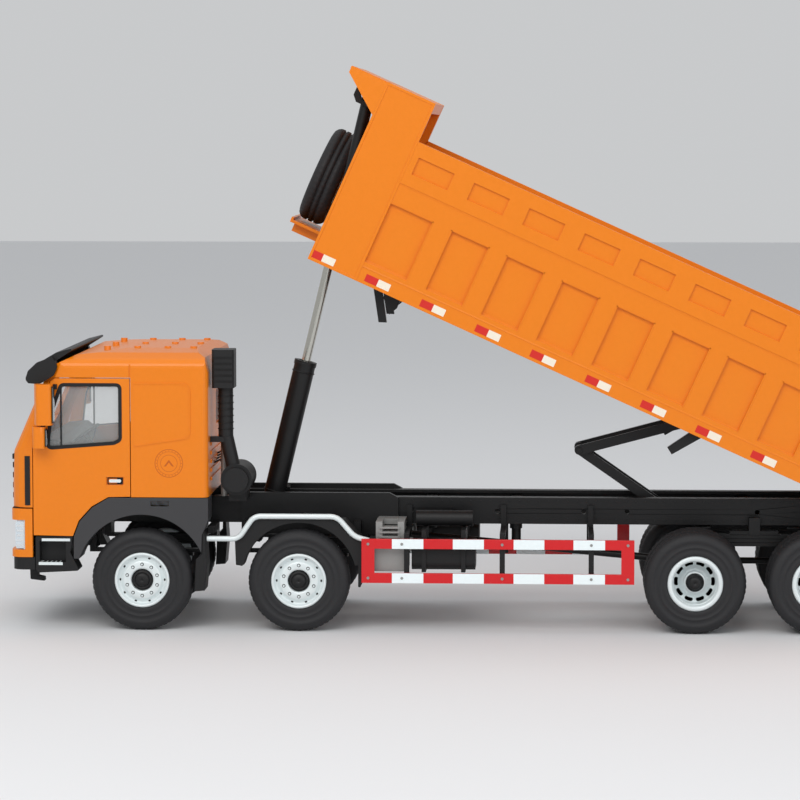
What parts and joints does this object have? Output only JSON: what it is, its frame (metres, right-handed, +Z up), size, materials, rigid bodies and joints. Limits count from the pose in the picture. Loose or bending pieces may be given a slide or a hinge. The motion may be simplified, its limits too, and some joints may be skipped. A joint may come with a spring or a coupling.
{
  "type": "toy dump truck",
  "caption": "Die-cast toy tipper truck with a hinged tipping body, telescopic front hoist, scissor stabiliser, opening cab doors, swinging tailgate and rolling axles.",
  "frame": {"origin": "middle of the footprint on the ground, under the middle of the overall length", "axes": "+X towards the tail, -X the nose, +Y the right-hand side, +Z up; the tipping body stands raised at rest"},
  "size_m": [0.427, 0.1218, 0.2569],
  "materials": {
    "orange_paint": "gloss orange enamel",
    "chassis_black": "satin black enamel",
    "black_plastic": "satin moulded plastic",
    "silver": "silver lacquer",
    "chrome": "polished",
    "tyre_rubber": "matt",
    "seat_brown": "matt",
    "clear_glass": "clear",
    "lamp_lens": "clear lens",
    "red_lens": "gloss",
    "guard_red": "gloss red"
  },
  "bodies": {
    "chassis": {"frame_rails": "chassis_black", "sub_frame": "chassis_black", "cab_shell": "orange_paint", "cab_floor": "black_plastic", "dashboard": "black_plastic", "seats": "seat_brown", "cab_glass": "clear_glass", "sun_visor": "black_plastic", "grille": "black_plastic", "bumper": "orange_paint", "lower_bumper": "black_plastic", "headlights": "lamp_lens", "wheel_arches": "black_plastic", "cab_steps": "black_plastic", "step_treads": "silver", "mud_guards": "black_plastic", "guard_pipes": "silver", "side_guards": "guard_red", "guard_brackets": "chassis_black", "air_intake": "black_plastic", "battery_box": "silver", "fuel_tank": "black_plastic", "air_tanks": "black_plastic", "springs": "chassis_black", "axle_housings": "chassis_black", "drive_shafts": "chassis_black", "tail_lights": "red_lens", "body_hinge_pin": "chrome"},
    "door_left_body": {"door_left": "orange_paint", "door_glass_left": "clear_glass", "mirror_left": "orange_paint", "mirror_bars_left": "black_plastic"},
    "door_right_body": {"door_right": "orange_paint", "door_glass_right": "clear_glass", "mirror_right": "orange_paint", "mirror_bars_right": "black_plastic"},
    "axle1": {"tyres_1": "tyre_rubber", "wheels_1": "silver"},
    "axle2": {"tyres_2": "tyre_rubber", "wheels_2": "silver"},
    "axle3": {"tyres_3": "tyre_rubber", "wheels_3": "silver"},
    "axle4": {"tyres_4": "tyre_rubber", "wheels_4": "silver"},
    "ram_barrel": {"hoist_barrel": "chassis_black"},
    "ram_rod": {"hoist_rod": "chrome"},
    "ram_sleeve": {"hoist_sleeve": "chassis_black"},
    "stabiliser_low": {"stabiliser_lower": "chassis_black"},
    "stabiliser_up": {"stabiliser_upper": "chassis_black"},
    "tipping_body": {"bed_shell": "orange_paint", "bed_side_frames": "orange_paint", "bed_canopy": "orange_paint", "bed_beams": "chassis_black", "bed_stays": "chassis_black", "hoist_head": "chassis_black", "spare_tyre": "tyre_rubber", "spare_wheel": "silver", "spare_shelf": "orange_paint"},
    "gate": {"tailgate": "orange_paint"}
  },
  "joints": [
    {"name": "body_tip", "type": "hinge", "parent": "chassis", "child": "tipping_body", "pos_m": [0.1723, 0, 0.0544], "axis": [0, 1, 0], "range_deg": [-24.4, 0]},
    {"name": "tailgate_swing", "type": "hinge", "parent": "tipping_body", "child": "gate", "pos_m": [0.21009, 0, 0.10962], "axis": [0, 1, 0], "range_deg": [-60, 0]},
    {"name": "ram_swing", "type": "hinge", "parent": "chassis", "child": "ram_barrel", "pos_m": [-0.0989, 0, 0.0504], "axis": [0, 1, 0], "range_deg": [-20, 0.5]},
    {"name": "rod_slide", "type": "slide", "parent": "ram_barrel", "child": "ram_rod", "axis": [0.2334, 0, 0.9724], "range_m": [-0.0545, 0.0002]},
    {"name": "sleeve_slide", "type": "slide", "parent": "ram_rod", "child": "ram_sleeve", "axis": [0.2334, 0, 0.9724], "range_m": [-0.06069, 0.0002]},
    {"name": "stabiliser_fold", "type": "hinge", "parent": "chassis", "child": "stabiliser_low", "pos_m": [0.0921, 0, 0.0478], "axis": [0, 1, 0], "range_deg": [-34.46, 0.3]},
    {"name": "stabiliser_elbow", "type": "hinge", "parent": "stabiliser_low", "child": "stabiliser_up", "pos_m": [0.0461, 0, 0.0797], "axis": [0, 1, 0], "range_deg": [-0.3, 36.66]},
    {"name": "door_left_swing", "type": "hinge", "parent": "chassis", "child": "door_left_body", "pos_m": [-0.2029, -0.0519, 0.08], "axis": [0, 0, 1], "range_deg": [-60, 0]},
    {"name": "door_right_swing", "type": "hinge", "parent": "chassis", "child": "door_right_body", "pos_m": [-0.2029, 0.0519, 0.08], "axis": [0, 0, 1], "range_deg": [0, 60]},
    {"name": "axle1_spin", "type": "hinge", "parent": "chassis", "child": "axle1", "pos_m": [-0.1534, 0, 0.0232], "axis": [0, 1, 0], "continuous": true},
    {"name": "axle2_spin", "type": "hinge", "parent": "chassis", "child": "axle2", "pos_m": [-0.0816, 0, 0.0232], "axis": [0, 1, 0], "continuous": true},
    {"name": "axle3_spin", "type": "hinge", "parent": "chassis", "child": "axle3", "pos_m": [0.0986, 0, 0.0232], "axis": [0, 1, 0], "continuous": true},
    {"name": "axle4_spin", "type": "hinge", "parent": "chassis", "child": "axle4", "pos_m": [0.1548, 0, 0.0232], "axis": [0, 1, 0], "continuous": true}
  ],
  "couplings": [
    {"joint": "ram_swing", "follows": "body_tip", "ratio": 0.81},
    {"joint": "rod_slide", "follows": "body_tip", "m_per_rad": 0.1268},
    {"joint": "sleeve_slide", "follows": "body_tip", "m_per_rad": 0.14134},
    {"joint": "stabiliser_fold", "follows": "body_tip", "ratio": 1.4},
    {"joint": "stabiliser_elbow", "follows": "body_tip", "ratio": -1.49}
  ]
}
